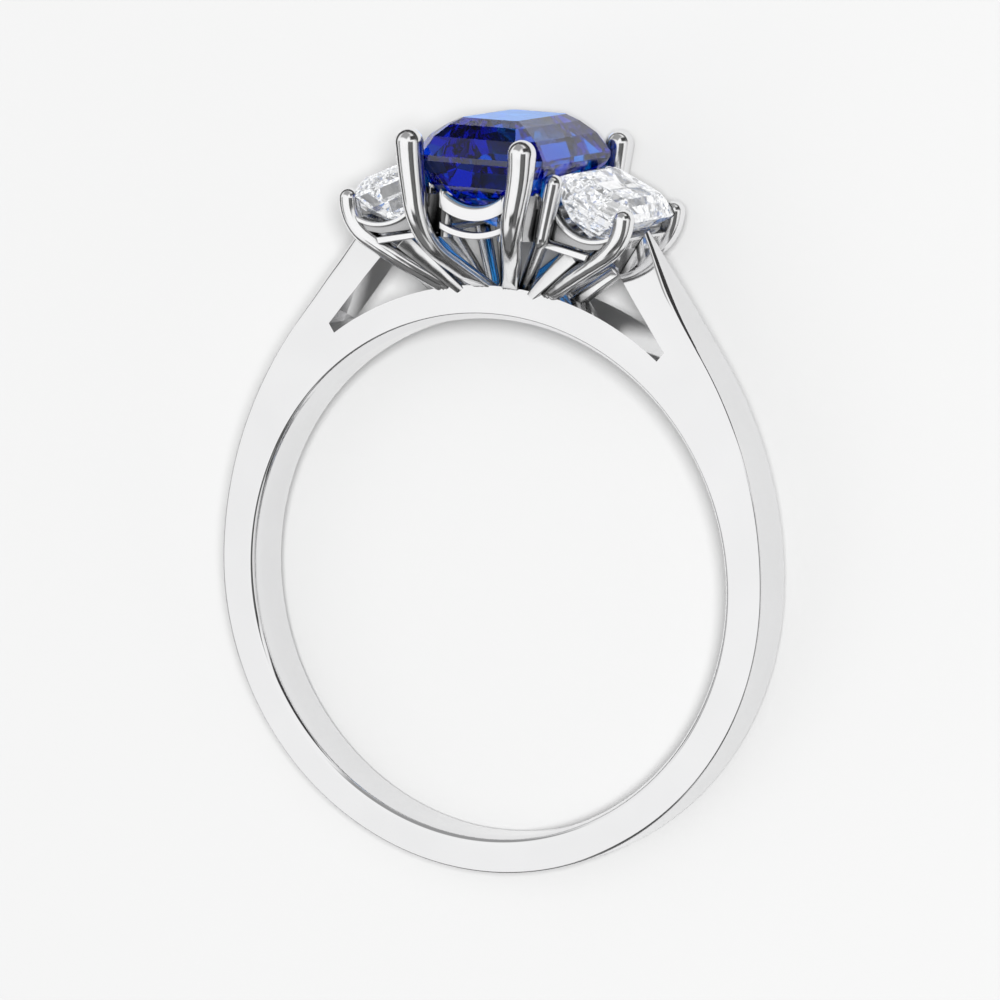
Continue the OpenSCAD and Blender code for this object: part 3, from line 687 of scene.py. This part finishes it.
end_out = PLATE_OUT - END_INSET - RAIL_T / 2
end_plate = []
for a in np.linspace(0, math.pi / 2, END_STEPS):
    z, foot = END_R * math.cos(a), END_MIDDLE - END_R * math.sin(a)
    ring = [at_side_stone(end_out + side * RAIL_T / 2, up, z)
            for side, up in ((1, END_TOP), (1, foot), (-1, foot), (-1, END_TOP))]
    end_plate.append([tuple(p) for p in ring + ring[:1]])
trim_piece("side_end_plates", [capped(end_plate)[:-1]])
end_half = (RAIL_T / 2, END_BAR_HALF)
end_bar = flat_bar(at_side_stone(end_out, END_BAR_UP, PLATE_Z - END_BAR_SHORT),
                   at_side_stone(end_out, END_BAR_UP, 0), end_half, end_half)
trim_piece("side_end_bars", [end_bar[:-1]])
for cutter in seats:
    bpy.data.objects.remove(cutter)

# The centre stone is a deep royal blue sapphire in an emerald cut, faceted in long steps above and
# below its girdle. Its colour is in its depth, with faint bands of stronger blue.
SAPPHIRE_BENDS_LIGHT = 1.77
SAPPHIRE_ZONES_PER_M = 260
SAPPHIRE_DEPTH = (0.0, 0.70, 0.945, 1)
SAPPHIRE_DENSITY_PER_M = 1000


def cut_crystal(name, bends_light, zones_per_m, zone_edges, tints):
    """Clear polished crystal, tinted in soft clouds between two tints."""
    crystal = bpy.data.materials.new(name)
    crystal.use_nodes = True
    nodes, links = crystal.node_tree.nodes, crystal.node_tree.links
    gem = nodes["Principled BSDF"]
    gem.inputs["Transmission Weight"].default_value = 1.0
    gem.inputs["IOR"].default_value = bends_light
    gem.inputs["Roughness"].default_value = 0.0
    place = nodes.new("ShaderNodeTexCoord")
    zones = nodes.new("ShaderNodeTexNoise")
    zones.inputs["Scale"].default_value = zones_per_m
    tint = nodes.new("ShaderNodeValToRGB")
    for stop, edge, colour in zip(tint.color_ramp.elements, zone_edges, tints):
        stop.position, stop.color = edge, (*colour, 1)
    links.new(place.outputs["Object"], zones.inputs["Vector"])
    links.new(zones.outputs["Fac"], tint.inputs["Fac"])
    links.new(tint.outputs["Color"], gem.inputs["Base Color"])
    return crystal


sapphire = cut_crystal("royal_blue_sapphire", SAPPHIRE_BENDS_LIGHT, SAPPHIRE_ZONES_PER_M,
                       (0.35, 0.65), ((0.72, 0.82, 1.0), (0.8, 0.88, 1.0)))
blue = sapphire.node_tree.nodes.new("ShaderNodeVolumeAbsorption")
blue.inputs["Color"].default_value = SAPPHIRE_DEPTH
blue.inputs["Density"].default_value = SAPPHIRE_DENSITY_PER_M
sapphire.node_tree.links.new(blue.outputs["Volume"],
                             sapphire.node_tree.nodes["Material Output"].inputs["Volume"])
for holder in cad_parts["centre_sapphire"].material_slots:
    holder.material = sapphire

# The side stones are clear diamonds in the same cut, smaller and shallower. They glow faintly: a
# painted glow that stands for what a real one gathers from all round, which shadows here would take
# away.
DIAMOND_BENDS_LIGHT = 2.417
DIAMOND_ZONES_PER_M = 500
DIAMOND_PAINTED_GLOW = (0.95, 0.97, 1.0, 1)
DIAMOND_PAINTED_GLOW_STRENGTH = 0.03

diamond = cut_crystal("clear_diamond", DIAMOND_BENDS_LIGHT, DIAMOND_ZONES_PER_M,
                      (0.0, 1.0), ((0.985, 0.988, 0.99), (1.0, 1.0, 1.0)))
painted_glow = diamond.node_tree.nodes["Principled BSDF"]
painted_glow.inputs["Emission Color"].default_value = DIAMOND_PAINTED_GLOW
painted_glow.inputs["Emission Strength"].default_value = DIAMOND_PAINTED_GLOW_STRENGTH
for node in ("side_diamond_left", "side_diamond_right"):
    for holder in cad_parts[node].material_slots:
        holder.material = diamond

# The ring lies on a wide sheet of pale matt paper, laid out flat. From here on sizes are metres
# in the studio, with the paper at nought.
PAPER_SHADE = 0.37


def grey(light):
    return (light, light, light, 1)


def studio_sheet(name, corners, faces, finish, shade, matt=True):
    """A flat sheet of the studio, which is no part of the ring."""
    mesh = bpy.data.meshes.new(name)
    mesh.from_pydata(corners, [], faces)
    stuff = bpy.data.materials.new(finish)
    stuff.use_nodes = True
    skin = stuff.node_tree.nodes["Principled BSDF"]
    skin.inputs["Base Color"].default_value = grey(shade)
    if matt:
        skin.inputs["Roughness"].default_value = 1.0
        skin.inputs["Specular IOR Level"].default_value = 0.0
    mesh.materials.append(stuff)
    sheet = bpy.data.objects.new(name, mesh)
    bpy.context.collection.objects.link(sheet)
    return sheet


studio_sheet("floor", [(-1, -1, 0), (1, -1, 0), (1, 1, 0), (-1, 1, 0)], [(0, 1, 2, 3)],
             "pale_floor", PAPER_SHADE)

# A skirt of dark cloth lies on the floor round the ring, far out, where only polished metal and
# stones can see it. Like the dark studio beyond the pale paper, it draws the dark lines near the
# outlines of the round claws. It comes in closer on the side of the band.
CLOTH_SHADE = 0.02
SKIRT_NEAR, SKIRT_FAR, SKIRT_SIDES, SKIRT_LIFT = 0.03, 0.9, 64, 0.00002
SKIRT_PULLED_IN, SKIRT_PULL_SHARPNESS = 0.5, 4


def skirt_edge(radius, pulled_in):
    """Points round an edge of the skirt, which may be pulled in on the side of the band."""
    edge = []
    for k in range(SKIRT_SIDES):
        a = 2 * math.pi * k / SKIRT_SIDES
        keeps = 1 - pulled_in * max(0, -math.sin(a)) ** SKIRT_PULL_SHARPNESS
        edge.append((radius * math.cos(a) * keeps, radius * math.sin(a) * keeps, SKIRT_LIFT))
    return edge


def seen_in_mirrors_only(sheet):
    """Hides a studio sheet from the camera and from all light but the mirrored."""
    sheet.visible_camera = sheet.visible_diffuse = False
    sheet.visible_shadow = sheet.visible_transmission = False


sides = [(k, (k + 1) % SKIRT_SIDES) for k in range(SKIRT_SIDES)]
seen_in_mirrors_only(studio_sheet(
    "skirt", skirt_edge(SKIRT_NEAR, SKIRT_PULLED_IN) + skirt_edge(SKIRT_FAR, 0),
    [(k, after, SKIRT_SIDES + after, SKIRT_SIDES + k) for k, after in sides],
    "dark_cloth", CLOTH_SHADE))

# A small light panel lies on the floor just behind the head, where only mirrored light finds it.
# It gives the table of the blue stone its bright sky blue.
PANEL_LEFT, PANEL_RIGHT, PANEL_NEAR, PANEL_FAR = -0.0045, 0.0002, 0.0125, 0.0138
PANEL_LIFT = 0.00004
PANEL_SHADE, PANEL_BLUE, PANEL_STRENGTH = 0.02, (0.40, 0.58, 1.0, 1), 1.25

panel = studio_sheet("blue_panel", [(PANEL_LEFT, PANEL_NEAR, PANEL_LIFT),
                                    (PANEL_RIGHT, PANEL_NEAR, PANEL_LIFT),
                                    (PANEL_RIGHT, PANEL_FAR, PANEL_LIFT),
                                    (PANEL_LEFT, PANEL_FAR, PANEL_LIFT)], [(0, 1, 2, 3)],
                     "blue_glow", PANEL_SHADE, matt=False)
glow = panel.data.materials[0].node_tree.nodes["Principled BSDF"]
glow.inputs["Emission Color"].default_value = PANEL_BLUE
glow.inputs["Emission Strength"].default_value = PANEL_STRENGTH
seen_in_mirrors_only(panel)

# One round softbox hangs high over the ring, to the right of it, and lights the paper. Its own
# mirror image is kept out of the metal, where the sky's cards do the drawing.
SOFTBOX_WAY, SOFTBOX_FAR = Vector((0.441, 0.02, 0.897)), 1.5
SOFTBOX_SIZE, SOFTBOX_POWER = 0.34, 47.0

softbox = bpy.data.lights.new("softbox", "AREA")
softbox.shape, softbox.size, softbox.energy = "DISK", SOFTBOX_SIZE, SOFTBOX_POWER
overhead = bpy.data.objects.new("softbox", softbox)
overhead.location = SOFTBOX_WAY * SOFTBOX_FAR
overhead.rotation_mode = "QUATERNION"
overhead.rotation_quaternion = overhead.location.to_track_quat("Z", "Y")
overhead.visible_camera = overhead.visible_glossy = overhead.visible_transmission = False
bpy.context.collection.objects.link(overhead)

# A bright soft dome stands over it all, as a light tent does, with a dark band low down that draws
# the thin dark lines along the polished edges. Grey and black cards hang in it and streak the
# round claws. Light has to pass many facets, so it may bounce often.
HORIZON, ZENITH = 0.5, 1.06
DOME_STEPS = ((0.015, 0.03), (0.13, 0.03), (0.2, 0.9), (0.6, 1.02))

scene = bpy.context.scene
scene.view_settings.view_transform = "Standard"
scene.cycles.max_bounces = 32
scene.cycles.glossy_bounces = 24
scene.cycles.transmission_bounces = 24
world = bpy.data.worlds.new("studio")
scene.world = world
world.use_nodes = True
sky_nodes, sky_links = world.node_tree.nodes, world.node_tree.links
sky = sky_nodes["Background"]
sky.inputs["Strength"].default_value = 1.0
way = sky_nodes.new("ShaderNodeTexCoord")
parts = sky_nodes.new("ShaderNodeSeparateXYZ")
dome = sky_nodes.new("ShaderNodeValToRGB")
dome.color_ramp.interpolation = "EASE"
stops = dome.color_ramp.elements
stops[0].color, stops[1].color = grey(HORIZON), grey(ZENITH)
for height, light in DOME_STEPS:
    stops.new(height).color = grey(light)
sky_links.new(way.outputs["Generated"], parts.inputs["Vector"])
sky_links.new(parts.outputs["Z"], dome.inputs["Fac"])


def sky_along(axis):
    """How far a direction of the sky points along an axis."""
    dot = sky_nodes.new("ShaderNodeVectorMath")
    dot.operation = "DOT_PRODUCT"
    dot.inputs[1].default_value = axis
    sky_links.new(way.outputs["Generated"], dot.inputs[0])
    return dot.outputs["Value"]


def sky_step(operation, value, other):
    """A step of reckoning in the sky. The other value is a plain number or a socket."""
    step = sky_nodes.new("ShaderNodeMath")
    step.operation = operation
    sky_links.new(value, step.inputs[0])
    if isinstance(other, float):
        step.inputs[1].default_value = other
    else:
        sky_links.new(other, step.inputs[1])
    return step.outputs["Value"]


def edge_of_card(axis, reach, soft):
    """One where a direction lies within a card's reach along one axis, falling softly to nought."""
    fall = sky_nodes.new("ShaderNodeMapRange")
    fall.interpolation_type = "SMOOTHSTEP"
    fall.inputs["From Min"].default_value = reach + soft
    fall.inputs["From Max"].default_value = reach
    fall.inputs["To Min"].default_value, fall.inputs["To Max"].default_value = 0.0, 1.0
    sky_links.new(sky_step("ABSOLUTE", sky_along(axis), 0.0), fall.inputs["Value"])
    return fall.outputs["Result"]


# Where each card hangs, as degrees round the upright ring from its front and up from its middle,
# its half width and half height as sines, its softness and its shade.
CARDS = ((38, -20, 0.30, 0.46, 0.06, 0.03), (36, -20, 0.17, 0.38, 0.10, 0.14),
         (-28, 58, 0.42, 0.34, 0.12, 0.36), (60, 40, 0.30, 0.24, 0.06, 0.05),
         (-60, -6, 0.09, 0.20, 0.05, 0.2), (2, -34, 0.30, 0.12, 0.03, 0.05),
         (-30, -62, 0.46, 0.26, 0.08, 0.18), (84, -8, 0.10, 0.40, 0.05, 0.75))

# A mix has its sockets for colours at these numbers.
COLOUR_A, COLOUR_B, COLOUR_RESULT = 6, 7, 2


def facing_way(turn, rise):
    """The way out from the upright ring, turned round it from its front and then raised."""
    return Vector((math.sin(turn) * math.cos(rise), math.sin(rise),
                   math.cos(turn) * math.cos(rise)))


lain = Matrix.Rotation(REST_TILT, 3, "X")
light = dome.outputs["Color"]
for turn, rise, half_wide, half_high, soft, shade in CARDS:
    front = facing_way(math.radians(turn), math.radians(rise))
    wide = Vector((0, 1, 0)).cross(front).normalized()
    high = front.cross(wide)
    facing = sky_step("GREATER_THAN", sky_along(lain @ front), 0.0)
    on_card = sky_step("MULTIPLY", edge_of_card(lain @ wide, half_wide, soft),
                       edge_of_card(lain @ high, half_high, soft))
    mix = sky_nodes.new("ShaderNodeMix")
    mix.data_type = "RGBA"
    sky_links.new(sky_step("MULTIPLY", on_card, facing), mix.inputs["Factor"])
    sky_links.new(light, mix.inputs[COLOUR_A])
    mix.inputs[COLOUR_B].default_value = grey(shade)
    light = mix.outputs[COLOUR_RESULT]
sky_links.new(light, sky.inputs["Color"])

# The camera looks at the ring at the photograph's angle, from in front, a little from the right
# and above. Its place is given to its right, up and back, in radii of the finger hole's edge.
CAMERA_TURN, CAMERA_RISE, CAMERA_ROLL = (math.radians(d) for d in (26.45, 7.70, 1.81))
CAMERA_RIGHT, CAMERA_UP, CAMERA_BACK = 0.0001, 0.2848, 33.18
LENS_MM, SENSOR_MM = 317.76, 36
SEES_FROM, SEES_TO = 0.01, 10

back = facing_way(CAMERA_TURN, CAMERA_RISE)
right = Vector((0, 1, 0)).cross(back).normalized()
up = back.cross(right)
right, up = (math.cos(CAMERA_ROLL) * right + math.sin(CAMERA_ROLL) * up,
             math.cos(CAMERA_ROLL) * up - math.sin(CAMERA_ROLL) * right)
stand = EDGE_R * (CAMERA_RIGHT * right + CAMERA_UP * up + CAMERA_BACK * back)
lens = bpy.data.cameras.new("camera")
lens.sensor_width = SENSOR_MM
lens.lens = LENS_MM
lens.clip_start, lens.clip_end = SEES_FROM, SEES_TO
camera = bpy.data.objects.new("camera", lens)
bpy.context.collection.objects.link(camera)
laid_view = lain @ Matrix((right, up, back)).transposed()
camera.matrix_world = Matrix.Translation(LAID @ stand) @ laid_view.to_4x4()
scene.camera = camera
